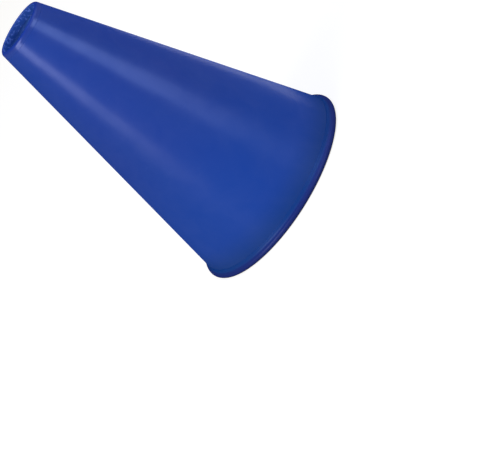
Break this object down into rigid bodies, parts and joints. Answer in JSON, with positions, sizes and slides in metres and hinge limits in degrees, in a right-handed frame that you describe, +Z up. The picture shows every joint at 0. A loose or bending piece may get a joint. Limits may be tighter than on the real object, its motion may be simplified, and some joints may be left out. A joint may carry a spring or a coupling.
{
  "type": "cheer megaphone",
  "caption": "Hollow tapered hand megaphone with a rounded lip ring at the narrow mouth and a beaded edge trim round the wide bell, for directing a shouted voice.",
  "frame": {"origin": "on the cone's axis, in the plane of the bell rim's resting face", "axes": "+Z up the cone's axis from the bell to the mouth; X and Y are any two directions square to it, because the part is a solid of revolution"},
  "size_m": [0.1392, 0.1392, 0.2],
  "materials": {
    "shell_plastic": "royal-blue moulded plastic, glossy with soft wide highlights and fine moulding waviness",
    "mouthpiece_plastic": "the same royal-blue moulded plastic, polished at the crest of the lip by use",
    "rim_plastic": "darker navy-blue moulded plastic, satin to glossy"
  },
  "bodies": {
    "root": {"cone_shell": "shell_plastic", "mouthpiece": "mouthpiece_plastic", "bell_rim": "rim_plastic"}
  },
  "joints": []
}
